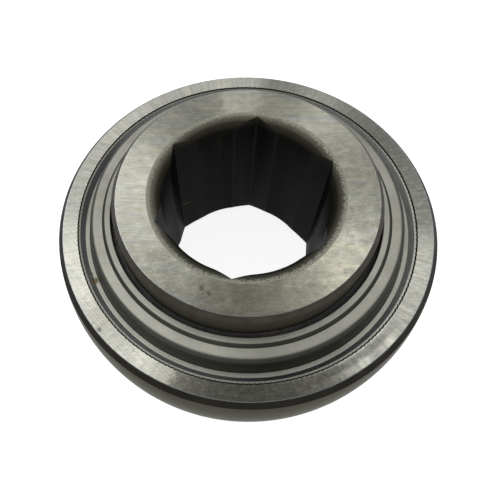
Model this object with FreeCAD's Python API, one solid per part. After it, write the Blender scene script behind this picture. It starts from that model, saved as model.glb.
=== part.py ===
import FreeCAD, Part
import math
import os

# Sealed ball bearing with a hexagonal bore and a spherical outside, millimetres, +Z up.
# The origin is the centre of the bearing: the axis is Z and both halves mirror in Z = 0.
# One corner of the hexagon points along +Y, and the first ball lies on +X.

# Hexagonal bore of the inner ring
hex_shaft_across_flats = 31.75
hex_shaft_clearance = 0.25
relief_over_flats = 0.55
upper_mouth_rounding = 2.7
lower_mouth_countersink = 2.9

# Inner ring, its wall measured from a corner of the hexagon to the land
inner_ring_wall = 7.725
inner_ring_width = 36.53
inner_corner_chamfer = 0.9

# Balls and raceways, the gap measured from land to land
land_gap = 7.6
ball_count = 9
ball_diameter = 11.906
groove_conformity = 0.52
ball_clearance = 0.02

# Outer ring
outer_land_width = 1.89
outer_corner_chamfer = 1.12
outer_face_width = 3.046
seat_depth = 1.1
stake_width = 0.15
stake_depth = 0.30

# Riveted ribbon cage
cage_sheet = 0.9
cage_band_width = 3.4
cage_pocket_clearance = 0.12
cage_bend_radius = 0.7
rivet_shank_radius = 0.9
rivet_head_radius = 1.5
rivet_head_height = 0.65
rivet_hole_clearance = 0.02

# Pressed steel shroud: heights from the outer ring's face, widths from the rim inwards
shroud_sheet = 0.6
seal_seat_clearance = 0.02
shroud_rim_below_face = 0.18
shroud_rim_chamfer = 0.2
shroud_rim_width = 0.6
shroud_rim_slope = 0.68
shroud_floor_below_face = 1.3
shroud_floor_width = 0.7
shroud_wall_draft = 1.75
shroud_ring_above_face = 2.95
shroud_shoulder_radius = 0.6
shroud_bend_radius = 0.15

# Raised lip of the shroud, widths from the inner ring's land outwards
shroud_lip_above_face = 3.65
shroud_hub_gap = 1.21
shroud_lip_width = 1.14
shroud_lip_slope = 0.6

# Steel cap nested under the shroud
cap_sheet = 0.5
cap_nesting_gap = 0.05
cap_ring_above_face = 0.6
cap_hub_gap = 2.45
cap_bend_radius = 0.3

# Moulded rubber with three lips, held between the cap and the shroud
lip_reach = 1.8
rubber_bead_height = 1.1
rubber_wall_gap = 0.1
lip_count = 3
lip_root_thickness = 0.7
lip_tip_thickness = 0.35
lip_rise = 0.8
lip_clearance = 0.1

# Bore and inner ring's land
hex_across_flats = hex_shaft_across_flats + hex_shaft_clearance
hex_corner_radius = hex_across_flats / math.sqrt(3)
relief_bore_radius = hex_across_flats / 2 + relief_over_flats
inner_land_radius = hex_corner_radius + inner_ring_wall
inner_face = inner_ring_width / 2

# Ball row, half way between the two lands
ball_radius = ball_diameter / 2
pitch_radius = inner_land_radius + land_gap / 2
groove_radius = groove_conformity * ball_diameter
groove_bottom_depth = ball_radius + ball_clearance - land_gap / 2
groove_half_width = math.sqrt(groove_radius ** 2 - (groove_radius - groove_bottom_depth) ** 2)

# Outer ring: land, seat for the seal, face and spherical outside of 80 mm diameter
outer_land_radius = inner_land_radius + land_gap
seat_radius = outer_land_radius + seat_depth
seat_shoulder = groove_half_width + outer_land_width
cap_flange = seat_shoulder + cap_sheet
shroud_floor = cap_flange + shroud_sheet
outer_face = shroud_floor + shroud_floor_below_face
outer_face_radius = seat_radius + stake_width + outer_face_width
chamfer_top = outer_face - outer_corner_chamfer
sphere_edge = outer_face_radius + outer_corner_chamfer
outer_sphere_radius = math.hypot(sphere_edge, chamfer_top)

# Cage
cage_inner_radius = pitch_radius - cage_band_width / 2
cage_outer_radius = pitch_radius + cage_band_width / 2
pocket_radius = ball_radius + cage_pocket_clearance
cage_crown_radius = pocket_radius + cage_sheet
bend_height = cage_sheet + cage_bend_radius
pocket_foot = math.sqrt((cage_crown_radius + cage_bend_radius) ** 2 - bend_height ** 2)
land_inner_radius = math.hypot(cage_inner_radius, pocket_foot)
land_outer_radius = math.hypot(cage_outer_radius, pocket_foot)
rivet_pitch_radius = (land_inner_radius + land_outer_radius) / 2

# Seal: shroud, cap and rubber
seal_rim_radius = seat_radius - seal_seat_clearance
shroud_rim_top = outer_face - shroud_rim_below_face
shroud_rim_crest_radius = seal_rim_radius - shroud_rim_width
shroud_rim_foot_radius = shroud_rim_crest_radius - shroud_rim_slope
shroud_wall_foot_radius = shroud_rim_foot_radius - shroud_floor_width
shroud_wall_top_radius = shroud_wall_foot_radius - shroud_wall_draft
shroud_ring = outer_face + shroud_ring_above_face
shroud_lip_top = outer_face + shroud_lip_above_face
shroud_inner_radius = inner_land_radius + shroud_hub_gap
shroud_step_inner_radius = shroud_inner_radius + shroud_lip_width
shroud_step_outer_radius = shroud_step_inner_radius + shroud_lip_slope
cap_ring = outer_face + cap_ring_above_face
cap_inner_radius = inner_land_radius + cap_hub_gap
rubber_root_radius = inner_land_radius + lip_reach

ORIGIN = FreeCAD.Vector(0, 0, 0)
AXIS = FreeCAD.Vector(0, 0, 1)


def at(radius, height):
    """A point of a half section, in the plane through the axis and +X."""
    return FreeCAD.Vector(radius, 0, height)


def below(point):
    """The same point on the lower side of the bearing."""
    return at(point.x, -point.z)


def ball_centre(index):
    """Centre of one ball on the pitch circle."""
    angle = 2 * math.pi * index / ball_count
    return FreeCAD.Vector(pitch_radius * math.cos(angle), pitch_radius * math.sin(angle), 0)


def turned(edges):
    """Solid of revolution of a closed half section."""
    face = Part.Face(Part.Wire(Part.sortEdges(edges)[0]))
    return face.revolve(ORIGIN, AXIS, 360)


def polyline(points):
    """Straight edges through the points."""
    return [Part.LineSegment(a, b).toShape() for a, b in zip(points, points[1:])]


def closed_outline(points):
    """Straight edges through the points and back to the first."""
    return polyline(points + points[:1])


def mirrored(shape):
    """The same piece on the lower side of the bearing."""
    return shape.mirror(ORIGIN, AXIS)


def raceway(land_radius, side):
    """Deep groove's upper edge on the land, and its arc; side is 1 where it is cut outwards."""
    top = at(land_radius, groove_half_width)
    bottom = at(land_radius + side * groove_bottom_depth, 0)
    return top, Part.Arc(top, bottom, below(top)).toShape()


def outer_ring():
    """Ring with a spherical outside, a deep groove and a stepped seat for each seal."""
    groove_top, groove = raceway(outer_land_radius, 1)
    upper = [
        at(sphere_edge, chamfer_top),
        at(outer_face_radius, outer_face),
        at(seat_radius + stake_width, outer_face),
        at(seat_radius, outer_face - stake_depth),
        at(seat_radius, seat_shoulder),
        at(outer_land_radius, seat_shoulder),
        groove_top,
    ]
    lower = [below(point) for point in upper]
    outside = Part.Arc(upper[0], at(outer_sphere_radius, 0), lower[0]).toShape()
    return turned(polyline(upper) + polyline(lower) + [groove, outside])


def hexagon_prism(corner_radius, length):
    """Hexagonal bar on the axis with one corner along +Y."""
    first_corner = FreeCAD.Vector(0, corner_radius, -length / 2)
    corners = [FreeCAD.Rotation(AXIS, 60 * index).multVec(first_corner) for index in range(6)]
    return Part.Face(Part.Wire(closed_outline(corners))).extrude(at(0, length))


def inner_ring():
    """Wide ring: relief bore, rounded upper and countersunk lower mouth, hexagon broached through."""
    round_centre = relief_bore_radius + upper_mouth_rounding
    round_start = at(relief_bore_radius, inner_face - upper_mouth_rounding)
    round_end = at(round_centre, inner_face)
    slant = upper_mouth_rounding * math.sqrt(0.5)
    round_middle = at(round_centre - slant, round_start.z + slant)
    groove_top, groove = raceway(inner_land_radius, -1)
    upper = [
        round_end,
        at(inner_land_radius - inner_corner_chamfer, inner_face),
        at(inner_land_radius, inner_face - inner_corner_chamfer),
        groove_top,
    ]
    lower = [below(point) for point in upper[1:]]
    lower_mouth = [
        lower[0],
        at(relief_bore_radius + lower_mouth_countersink, -inner_face),
        at(relief_bore_radius, lower_mouth_countersink - inner_face),
        round_start,
    ]
    edges = polyline(upper) + polyline(lower) + polyline(lower_mouth)
    edges += [groove, Part.Arc(round_start, round_middle, round_end).toShape()]
    return turned(edges).cut(hexagon_prism(hex_corner_radius, 2 * inner_ring_width))


def ball(index):
    """One ball, seated between the two raceways."""
    return Part.makeSphere(ball_radius, ball_centre(index))


def rivet_places():
    """Rivet axes, half way between neighbouring balls."""
    step = 360 / ball_count
    return [step * (index + 0.5) for index in range(ball_count)]


def around(shape, degrees):
    """The shape turned about the bearing's axis."""
    return shape.rotated(ORIGIN, AXIS, degrees)


def direction(a, b):
    """Unit vector from a to b."""
    return (b - a).normalize()


def ribbon_side(radius, bend_radius, land_height):
    """One side of the ribbon over the first ball: bend, half-round pocket and bend."""
    bends = [FreeCAD.Vector(cage_inner_radius, side * pocket_foot, bend_height) for side in (-1, 1)]
    centre = at(cage_inner_radius, 0)
    crown = at(cage_inner_radius, radius)
    joints = [centre + direction(centre, bend) * radius for bend in bends]
    edges = [Part.Arc(joints[0], crown, joints[1]).toShape()]
    feet = []
    for bend, joint in zip(bends, joints):
        foot = FreeCAD.Vector(bend.x, bend.y, land_height)
        middle = bend + direction(bend, joint + foot - bend) * bend_radius
        edges.append(Part.Arc(joint, middle, foot).toShape())
        feet.append(foot)
    return edges, feet


def cage_pocket():
    """Stretch of ribbon bent half-round over the first ball."""
    outside, outer_feet = ribbon_side(cage_crown_radius, cage_bend_radius, cage_sheet)
    inside, inner_feet = ribbon_side(pocket_radius, cage_bend_radius + cage_sheet, 0)
    ends = [Part.LineSegment(a, b).toShape() for a, b in zip(outer_feet, inner_feet)]
    section = Part.Face(Part.Wire(Part.sortEdges(outside + inside + ends)[0]))
    return section.extrude(at(cage_band_width, 0))


def cage_land():
    """Flat stretch of ribbon between the first two pockets, with its rivet hole."""
    to_next = FreeCAD.Rotation(AXIS, 360 / ball_count)
    half_way = FreeCAD.Rotation(AXIS, rivet_places()[0])
    near = [FreeCAD.Vector(x, pocket_foot, 0) for x in (cage_inner_radius, cage_outer_radius)]
    far = [to_next.multVec(FreeCAD.Vector(corner.x, -corner.y, 0)) for corner in near]
    edges = polyline(near) + polyline(far)
    for start, end, radius in zip(near, far, (land_inner_radius, land_outer_radius)):
        edges.append(Part.Arc(start, half_way.multVec(at(radius, 0)), end).toShape())
    plate = Part.Face(Part.Wire(Part.sortEdges(edges)[0])).extrude(at(0, cage_sheet))
    hole_radius = rivet_shank_radius + rivet_hole_clearance
    hole = Part.makeCylinder(hole_radius, 3 * cage_sheet, at(rivet_pitch_radius, -cage_sheet), AXIS)
    return plate.cut(around(hole, rivet_places()[0]))


def cage_half():
    """Upper half of the riveted ribbon: a pocket over each ball and a flat land between two."""
    turns = [360 * index / ball_count for index in range(ball_count)]
    pieces = [around(piece, degrees) for piece in (cage_pocket(), cage_land()) for degrees in turns]
    return pieces[0].multiFuse(pieces[1:]).removeSplitter()


def cage_rivets():
    """A rivet between each two balls: a shank through both lands and a domed head on each."""
    head_edge = at(rivet_head_radius, cage_sheet)
    crown = at(0, cage_sheet + rivet_head_height)
    shoulder = at(rivet_shank_radius, cage_sheet)
    dome_rise = (rivet_head_radius ** 2 - rivet_head_height ** 2) / (2 * rivet_head_height)
    dome_radius = dome_rise + rivet_head_height
    half_way = math.asin(rivet_head_radius / dome_radius) / 2
    dome_middle = at(dome_radius * math.sin(half_way),
                     cage_sheet - dome_rise + dome_radius * math.cos(half_way))
    upper = [crown, dome_middle, head_edge, shoulder]
    lower = [below(point) for point in upper]
    edges = [
        Part.Arc(upper[0], upper[1], upper[2]).toShape(),
        Part.Arc(lower[0], lower[1], lower[2]).toShape(),
    ]
    edges += polyline([upper[2], upper[3], lower[3], lower[2]]) + polyline([upper[0], lower[0]])
    rivet = turned(edges)
    rivet.translate(at(rivet_pitch_radius, 0))
    return Part.makeCompound([around(rivet, degrees) for degrees in rivet_places()])


def to_the_right(vector):
    """A direction of the half section turned a quarter turn clockwise."""
    return FreeCAD.Vector(vector.z, 0, -vector.x)


def offset_path(path, distance):
    """The path moved to its right, with mitred corners."""
    moved = [path[0] + to_the_right(direction(path[0], path[1])) * distance]
    for before, corner, after in zip(path, path[1:], path[2:]):
        normal_in = to_the_right(direction(before, corner))
        normal_out = to_the_right(direction(corner, after))
        mitre = (normal_in + normal_out).normalize()
        moved.append(corner + mitre * (distance / mitre.dot(normal_in)))
    moved.append(path[-1] + to_the_right(direction(path[-2], path[-1])) * distance)
    return moved


def rounded(path, inside_radii, thickness, right_side):
    """Edges along one side of bent sheet, each corner an arc about its bend's centre."""
    edges = []
    start = path[0]
    for before, corner, after, inside in zip(path, path[1:], path[2:], inside_radii):
        arriving = direction(before, corner)
        leaving = direction(corner, after)
        turns_right = to_the_right(arriving).dot(leaving) > 0
        radius = inside if turns_right == right_side else inside + thickness
        half_turn = arriving.getAngle(leaving) / 2
        reach = radius * math.tan(half_turn)
        arc_start = corner - arriving * reach
        arc_end = corner + leaving * reach
        towards_centre = (leaving - arriving).normalize()
        arc_middle = corner + towards_centre * (radius / math.cos(half_turn) - radius)
        edges.append(Part.LineSegment(start, arc_start).toShape())
        edges.append(Part.Arc(arc_start, arc_middle, arc_end).toShape())
        start = arc_end
    edges.append(Part.LineSegment(start, path[-1]).toShape())
    return edges


def pressed_sheet(path, inside_radii, thickness):
    """Turned piece of bent sheet: the path is its outside, and the metal lies to its right."""
    other_side = offset_path(path, thickness)
    edges = rounded(path, inside_radii, thickness, False)
    edges += rounded(other_side, inside_radii, thickness, True)
    edges += polyline([path[0], other_side[0]]) + polyline([path[-1], other_side[-1]])
    return turned(edges)


def shroud_path():
    """Outside of the shroud from its inner edge to its rim, past the trimmed end."""
    foot = at(shroud_rim_foot_radius, shroud_floor)
    crest = at(shroud_rim_crest_radius, shroud_rim_top)
    return [
        at(shroud_inner_radius, shroud_lip_top),
        at(shroud_step_inner_radius, shroud_lip_top),
        at(shroud_step_outer_radius, shroud_ring),
        at(shroud_wall_top_radius, shroud_ring),
        at(shroud_wall_foot_radius, shroud_floor),
        foot,
        crest + direction(foot, crest) * shroud_sheet,
    ]


def shroud_wall_inside():
    """Top and foot of the drafted wall's inner side."""
    inner_edge, lip, ring, wall_top, wall_foot, rim_foot, rim = offset_path(shroud_path(), shroud_sheet)
    return wall_top, wall_foot


def seal_shroud():
    """Pressed cap: rim staked into the seat, groove, drafted wall, flat ring and raised lip."""
    radii = [shroud_bend_radius, shroud_bend_radius, shroud_shoulder_radius,
             shroud_bend_radius, shroud_bend_radius]
    room = turned(closed_outline([
        at(0, 0),
        at(seal_rim_radius, 0),
        at(seal_rim_radius, shroud_rim_top - shroud_rim_chamfer),
        at(seal_rim_radius - shroud_rim_chamfer, shroud_rim_top),
        at(shroud_wall_foot_radius, shroud_rim_top),
        at(shroud_wall_foot_radius, 2 * shroud_lip_top),
        at(0, 2 * shroud_lip_top),
    ]))
    return pressed_sheet(shroud_path(), radii, shroud_sheet).common(room)


def seal_cap():
    """Steel cap nested under the shroud: flange on the seat's shoulder, wall and flat ring."""
    wall_top, wall_foot = shroud_wall_inside()
    slope = direction(wall_top, wall_foot)
    inwards = to_the_right(slope) * cap_nesting_gap
    flange_corner = wall_foot + inwards - slope * (inwards.z / slope.z)
    ring_corner = wall_top + inwards + slope * ((cap_ring - wall_top.z - inwards.z) / slope.z)
    path = [
        at(cap_inner_radius, cap_ring),
        ring_corner,
        flange_corner,
        at(seal_rim_radius, cap_flange),
    ]
    return pressed_sheet(path, [cap_bend_radius, shroud_bend_radius], cap_sheet)


def seal_lips():
    """Rubber ring held between cap and shroud, with three lips on the inner ring's land."""
    top = shroud_ring - shroud_sheet
    bottom = cap_ring - rubber_bead_height
    wall_top, wall_foot = shroud_wall_inside()
    outer_top = wall_top.x - shroud_shoulder_radius - rubber_wall_gap
    tip_radius = inner_land_radius + lip_clearance
    pitch = (top - bottom - lip_root_thickness) / (lip_count - 1)
    outline = [at(outer_top, top)]
    for index in range(lip_count):
        root_top = top - index * pitch
        tip_top = root_top + lip_rise - lip_root_thickness / 2
        outline += [
            at(rubber_root_radius, root_top),
            at(tip_radius, tip_top),
            at(tip_radius, tip_top - lip_tip_thickness),
            at(rubber_root_radius, root_top - lip_root_thickness),
        ]
    outline += [
        at(cap_inner_radius, bottom),
        at(cap_inner_radius, cap_ring),
        at(outer_top, cap_ring),
    ]
    return turned(closed_outline(outline))


def write(node, shape):
    """Save one node and print its measure."""
    shape.exportStep("parts/" + node + ".step")
    print(node, "solids", len(shape.Solids), "volume", round(shape.Volume, 2), "valid", shape.isValid())


def main():
    os.makedirs("parts", exist_ok=True)
    write("outer_ring", outer_ring())
    write("inner_ring", inner_ring())
    for index in range(ball_count):
        write("ball_" + str(index + 1), ball(index))
    half = cage_half()
    write("cage_half_upper", half)
    write("cage_half_lower", mirrored(half))
    write("cage_rivets", cage_rivets())
    for name, make in (("seal_shroud", seal_shroud), ("seal_cap", seal_cap),
                       ("seal_lips", seal_lips)):
        piece = make()
        write(name + "_upper", piece)
        write(name + "_lower", mirrored(piece))


main()
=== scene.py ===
import math

import bmesh
import bpy
from mathutils import Matrix, Vector


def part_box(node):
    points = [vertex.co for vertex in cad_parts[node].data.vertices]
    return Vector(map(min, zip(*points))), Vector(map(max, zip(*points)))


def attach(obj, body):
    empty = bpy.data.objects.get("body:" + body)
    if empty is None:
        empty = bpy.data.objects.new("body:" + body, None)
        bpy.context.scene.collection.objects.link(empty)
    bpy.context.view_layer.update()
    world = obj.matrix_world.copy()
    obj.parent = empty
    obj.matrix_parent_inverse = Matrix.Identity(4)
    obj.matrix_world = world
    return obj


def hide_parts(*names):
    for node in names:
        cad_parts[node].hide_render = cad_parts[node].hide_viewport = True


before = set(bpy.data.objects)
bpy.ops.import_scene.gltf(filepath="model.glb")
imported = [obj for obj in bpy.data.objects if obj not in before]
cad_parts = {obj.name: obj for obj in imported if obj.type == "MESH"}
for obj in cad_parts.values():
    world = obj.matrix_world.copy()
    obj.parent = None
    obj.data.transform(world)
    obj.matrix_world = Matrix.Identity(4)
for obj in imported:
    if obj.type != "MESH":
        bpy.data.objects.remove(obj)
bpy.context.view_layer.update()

# Lengths are in millimetres and the scene is in metres. A section is a list of corners
# (radius, height, rounding, finish), with heights above the bearing's middle plane and the
# finish of the stretch that follows the corner.
MM = 0.001

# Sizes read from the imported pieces
OUTER_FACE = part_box("outer_ring")[1].z / MM
OUTER_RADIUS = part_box("outer_ring")[1].x / MM
INNER_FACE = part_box("inner_ring")[1].z / MM
INNER_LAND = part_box("inner_ring")[1].x / MM
SHROUD_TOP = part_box("seal_shroud_upper")[1].z / MM
SHROUD_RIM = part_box("seal_shroud_upper")[1].x / MM

# Outer ring
OUTER_CHAMFER = 1.12
OUTER_EDGE_ROUNDING = 0.18
OUTER_LAND = 33.8
OUTER_LAND_ROUNDING = 0.1
OUTER_GROOVE_BOTTOM = 35.97
GROOVE_HALF_WIDTH = 4.71
GROOVE_STEPS = 16
SPHERE_STEPS = 14
SEAT_RADIUS = SHROUD_RIM + 0.02
SEAT_SHOULDER = OUTER_FACE - 2.4

# Staked edge over the shroud's rim: teeth of metal pressed inwards across a fine groove.
# Depths are below the ring's face.
STAKE_TEETH = 216
STAKE_LIP = SEAT_RADIUS + 0.16
STAKE_LIP_WIDTH = 0.03
STAKE_LIP_DROP = 0.04
STAKE_DEPTH = 0.32
STAKE_FOOT = STAKE_DEPTH + 0.03
STAKE_END = STAKE_DEPTH + 0.06
STAKE_TOOTH_PUSH = 0.08
STAKE_TIP = SEAT_RADIUS - 0.21
STAKE_TIP_TOP = 0.10
STAKE_TIP_FOOT = 0.16

# Rows of points nearer to each other than this are the same row
CLOSE = 0.001

# Places across one tooth, as shares of its pitch, and whether the metal is pressed there
STAKE_TOOTH = ((0.0, False), (0.34, False), (0.41, True), (0.59, True), (0.66, False), (1.0, False))

# Inner ring with its hexagonal bore, one of whose corners lies on +Y. The relief's edge is
# in degrees from the middle of a flat.
HEX_SIDES = 6
HEX_HALF = 16.0
HEX_CORNER_ROUNDING = 0.35
CORNER_DIRECTION = 90
HALF_SIDE_DEGREES = 180 / HEX_SIDES
RELIEF_RADIUS = 16.55
RELIEF_EDGE_DEGREES = math.degrees(math.acos(HEX_HALF / RELIEF_RADIUS))
UPPER_MOUTH_ROUNDING = 2.7
UPPER_MOUTH_INSET = 0.05
LOWER_MOUTH_COUNTERSINK = 2.9
LOWER_MOUTH_INSET = 0.03
INNER_CHAMFER = 0.9
INNER_EDGE_ROUNDING = 0.14
INNER_GROOVE_BOTTOM = 24.03
BORE_EDGE_BLEND = 0.05
BORE_EDGE_DEGREES = 0.7
BORE_EDGE_SHARE = 0.3
HEX_CORNER_DEGREES = 0.55
FLAT_STEPS = 5
RELIEF_STEPS = 12
MOUTH_STEPS = 16
BORE_STEPS = 8

# Pressed shroud
SHEET = 0.6
BEND = 0.15
SHOULDER_BEND = 0.4
SHROUD_LIP_BEND = 0.28
SHROUD_LIP_INNER = 27.41
SHROUD_LIP_OUTER = 28.55
SHROUD_STEP_FOOT = 29.15
SHROUD_RING = OUTER_FACE + 2.95
SHROUD_SHOULDER = 31.6
SHROUD_WALL_FOOT = 32.65
SHROUD_WALL_THINNING = 0.32
SHROUD_FLOOR = OUTER_FACE - 1.3
SHROUD_RIM_FOOT = 33.6
SHROUD_RIM_CREST = 34.40
SHROUD_RIM_CREST_BEND = 0.05
SHROUD_RIM_TOP = OUTER_FACE - 0.18
SHROUD_RIM_CHAMFER = 0.08
CUT_EDGE_ROUNDING = 0.06
RIM_EDGE_ROUNDING = 0.04
SHROUD_SECTORS = 72
SHROUD_SECTOR_STEPS = 4

# An arc takes at most this share of each stretch beside it
ARC_SHARE = 0.4

# Points closer than the seam are merged, shorter edges than the sliver go, and edges that bend
# more than the sharp angle stay crisp
SEAM = 0.0005
SLIVER = 0.0004
SHARP_DEGREES = 35

# Way round a circle of radius 1, in which the streaks are counted
UNIT_CIRCLE = 6.28

# Camera, found from the ellipses of the faces and the corners of the hexagon
IMAGE_PIXELS = 500
FOCAL_PIXELS = 501.7
AXIS_PIXEL = (193.0, 260.8)
CAMERA_PLACE = (0.0, -53.0, 100.4)
CAMERA_PITCH = 65.49
CAMERA_YAW = -5.37
CAMERA_ROLL = 4.34
HEXAGON_TURN = 3.9
SENSOR_MM = 36.0

# Studio: the floor's glow is what the camera and reflections see of it
STUDIO_LEVEL = 0.58
FLOOR_REACH = 3.0
FLOOR_GREY = 0.6
FLOOR_GLOW = 0.86


# Sections

# Finishes of a ring's stretches; the bore of the inner ring takes the sphere's place
FACE, SCALE, SPHERE, RACE, EDGE = range(5)
BORE = SPHERE


def rounded_outline(corners, steps=4, support=0.6, worn_and_highlit=None):
    """Points of a closed section, each rounded corner made a small arc.

    Each point carries the finish of the stretch that leaves it. A spare point beyond each end
    of an arc keeps the flats beside it flat when the surface is shaded smooth. Where a ground
    face meets another finish, the arc between them takes the worn edge's finish, which is worn
    steel with a painted highlight.
    """
    points = []
    for index, (radius, height, rounding, finish) in enumerate(corners):
        here = Vector((radius, height))
        if rounding <= 0:
            points.append((here.x, here.y, finish))
            continue
        before = corners[index - 1]
        after = corners[(index + 1) % len(corners)]
        back = Vector(before[:2]) - here
        ahead = Vector(after[:2]) - here
        half = back.angle(ahead) / 2
        reach = min(rounding / math.tan(half), ARC_SHARE * back.length, ARC_SHARE * ahead.length)
        rounding = reach * math.tan(half)
        back.normalize()
        ahead.normalize()
        centre = here + (back + ahead).normalized() * (rounding / math.sin(half))
        first = here + back * reach
        last = here + ahead * reach
        start = math.atan2(first.y - centre.y, first.x - centre.x)
        end = math.atan2(last.y - centre.y, last.x - centre.x)
        sweep = (end - start + math.pi) % (2 * math.pi) - math.pi
        spare = support * reach
        turning = (before[3], finish)
        if worn_and_highlit is not None and FACE in turning and before[3] != finish:
            turning = (worn_and_highlit, worn_and_highlit)
        points.append((*(first + back * spare), before[3]))
        for step in range(steps + 1):
            angle = start + sweep * step / steps
            points.append((
                centre.x + rounding * math.cos(angle), centre.y + rounding * math.sin(angle),
                turning[0] if step < steps / 2 else turning[1]))
        points[-1] = (*points[-1][:2], finish)
        points.append((*(last + ahead * spare), finish))
    return points


def arc_corners(start, middle, end, steps, finish):
    """Plain corners along the arc from start to end through the middle, all in one finish."""
    (ax, ay), (bx, by), (cx, cy) = start, middle, end
    twice = 2 * (ax * (by - cy) + bx * (cy - ay) + cx * (ay - by))
    a, b, c = ax * ax + ay * ay, bx * bx + by * by, cx * cx + cy * cy
    ux = (a * (by - cy) + b * (cy - ay) + c * (ay - by)) / twice
    uy = (a * (cx - bx) + b * (ax - cx) + c * (bx - ax)) / twice
    radius = math.hypot(ax - ux, ay - uy)
    first = math.atan2(ay - uy, ax - ux)
    sweep = (math.atan2(cy - uy, cx - ux) - first + math.pi) % (2 * math.pi) - math.pi
    angles = [first + sweep * step / steps for step in range(steps + 1)]
    return [(ux + radius * math.cos(t), uy + radius * math.sin(t), 0, finish) for t in angles]


def raceway_corners(land, bottom):
    """The deep groove of a ring, from the upper edge on its land to the lower."""
    return arc_corners((land, GROOVE_HALF_WIDTH), (bottom, 0), (land, -GROOVE_HALF_WIDTH),
                       GROOVE_STEPS, RACE)


def lower_side(corners):
    """The same corners mirrored to the lower side, so that the section goes on round the ring."""
    finishes = [corner[3] for corner in corners]
    leaving = [finishes[0]] + finishes[:-1]
    mirrored = [(r, -z, rounding, finish) for (r, z, rounding, _), finish in zip(corners, leaving)]
    return mirrored[::-1]


def with_last_finish(corners, finish):
    """The corners, with the stretch after the last of them in another finish."""
    return corners[:-1] + [(*corners[-1][:3], finish)]


def offset_corners(path, distance):
    """The open path moved to its right hand side, with mitred corners."""
    moved = []
    for index, (radius, height) in enumerate(path):
        normals = []
        for a, b in ((index - 1, index), (index, index + 1)):
            if 0 <= a and b < len(path):
                along = Vector((path[b][0] - path[a][0], path[b][1] - path[a][1])).normalized()
                normals.append(Vector((along.y, -along.x)))
        mitre = (normals[0] + normals[-1]).normalized()
        moved.append(Vector((radius, height)) + mitre * (distance / mitre.dot(normals[0])))
    return moved


# Rings made of like sectors

def place(radius, degrees, height):
    """A point of the scene, in metres."""
    angle = math.radians(degrees)
    return (radius * math.cos(angle) * MM, radius * math.sin(angle) * MM, height * MM)


def sector_mesh(name, rows, finishes):
    """Strip of a ring: rows of points round the section, with each row's finish on its faces."""
    columns = len(rows[0])
    points = [point for row in rows for point in row]
    faces = []
    marks = []
    for row, finish in enumerate(finishes):
        above = row * columns
        below = (row + 1) % len(rows) * columns
        for column in range(columns - 1):
            faces.append((above + column, above + column + 1, below + column + 1, below + column))
            marks.append(finish)
    mesh = bpy.data.meshes.new(name)
    mesh.from_pydata(points, [], faces)
    mesh.attributes.new("finish", "INT", "FACE").data.foreach_set("value", marks)
    return mesh


def new_node(tree, kind, inputs=None, **settings):
    """A node with its inputs set to values or linked to other nodes' outputs."""
    made = tree.nodes.new(kind)
    for key, value in settings.items():
        setattr(made, key, value)
    for key, value in (inputs or {}).items():
        if isinstance(value, bpy.types.NodeSocket):
            tree.links.new(value, made.inputs[key])
        else:
            made.inputs[key].default_value = value
    return made


def ring_tree(materials):
    """Geometry nodes that turn one sector into a whole ring and give each zone its finish."""
    tree = bpy.data.node_groups.new("ring_of_sectors", "GeometryNodeTree")
    kinds = {"Sector": "NodeSocketGeometry", "Count": "NodeSocketInt", "Seam": "NodeSocketFloat"}
    kinds.update({material.name: "NodeSocketMaterial" for material in materials})
    sockets = {name: tree.interface.new_socket(name, in_out="INPUT", socket_type=kind)
               for name, kind in kinds.items()}
    tree.interface.new_socket("Ring", in_out="OUTPUT", socket_type="NodeSocketGeometry")
    given = tree.nodes.new("NodeGroupInput").outputs

    def add(kind, inputs=None, **settings):
        return new_node(tree, kind, inputs, **settings).outputs[0]

    line = add("GeometryNodeMeshLine", {"Count": given["Count"], "Offset": (0, 0, 0)})
    index = add("GeometryNodeInputIndex")
    share = add("ShaderNodeMath", {0: index, 1: given["Count"]}, operation="DIVIDE")
    turn = add("ShaderNodeMath", {0: share, 1: 2 * math.pi}, operation="MULTIPLY")
    angles = add("ShaderNodeCombineXYZ", {"Z": turn})
    ring = add("GeometryNodeInstanceOnPoints",
               {"Points": line, "Instance": given["Sector"], "Rotation": angles})
    ring = add("GeometryNodeRealizeInstances", {"Geometry": ring})
    ring = add("GeometryNodeMergeByDistance", {"Geometry": ring, "Distance": given["Seam"]})
    ring = add("GeometryNodeSetShadeSmooth", {"Geometry": ring})
    bend = add("GeometryNodeInputMeshEdgeAngle")
    steep = add("FunctionNodeCompare", {0: bend, 1: math.radians(SHARP_DEGREES)},
                operation="GREATER_THAN")
    ring = add("GeometryNodeSetShadeSmooth",
               {"Geometry": ring, "Selection": steep, "Shade Smooth": False}, domain="EDGE")
    zone = add("GeometryNodeInputNamedAttribute", {"Name": "finish"}, data_type="INT")
    for number, material in enumerate(materials):
        same = add("FunctionNodeCompare", {2: zone, 3: number}, data_type="INT", operation="EQUAL")
        ring = add("GeometryNodeSetMaterial",
                   {"Geometry": ring, "Selection": same, "Material": given[material.name]})
    tree.links.new(ring, tree.nodes.new("NodeGroupOutput").inputs[0])
    return tree, sockets


def ring_from_sector(name, sector, count, materials):
    """A whole ring as one plain closed mesh with its normals outwards."""
    ring = bpy.data.objects.new(name, sector)
    bpy.context.scene.collection.objects.link(ring)
    tree, sockets = ring_tree(materials)
    modifier = ring.modifiers.new("ring", "NODES")
    modifier.node_group = tree
    modifier[sockets["Count"].identifier] = count
    modifier[sockets["Seam"].identifier] = SEAM * MM
    for material in materials:
        modifier[sockets[material.name].identifier] = material
    whole = ring.evaluated_get(bpy.context.evaluated_depsgraph_get())
    mesh = bpy.data.meshes.new_from_object(whole)
    ring.modifiers.clear()
    ring.data = mesh
    shape = bmesh.new()
    shape.from_mesh(mesh)
    bmesh.ops.dissolve_degenerate(shape, dist=SLIVER * MM, edges=shape.edges)
    bmesh.ops.recalc_face_normals(shape, faces=shape.faces)
    shape.to_mesh(mesh)
    shape.free()
    return ring


# Material building

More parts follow.
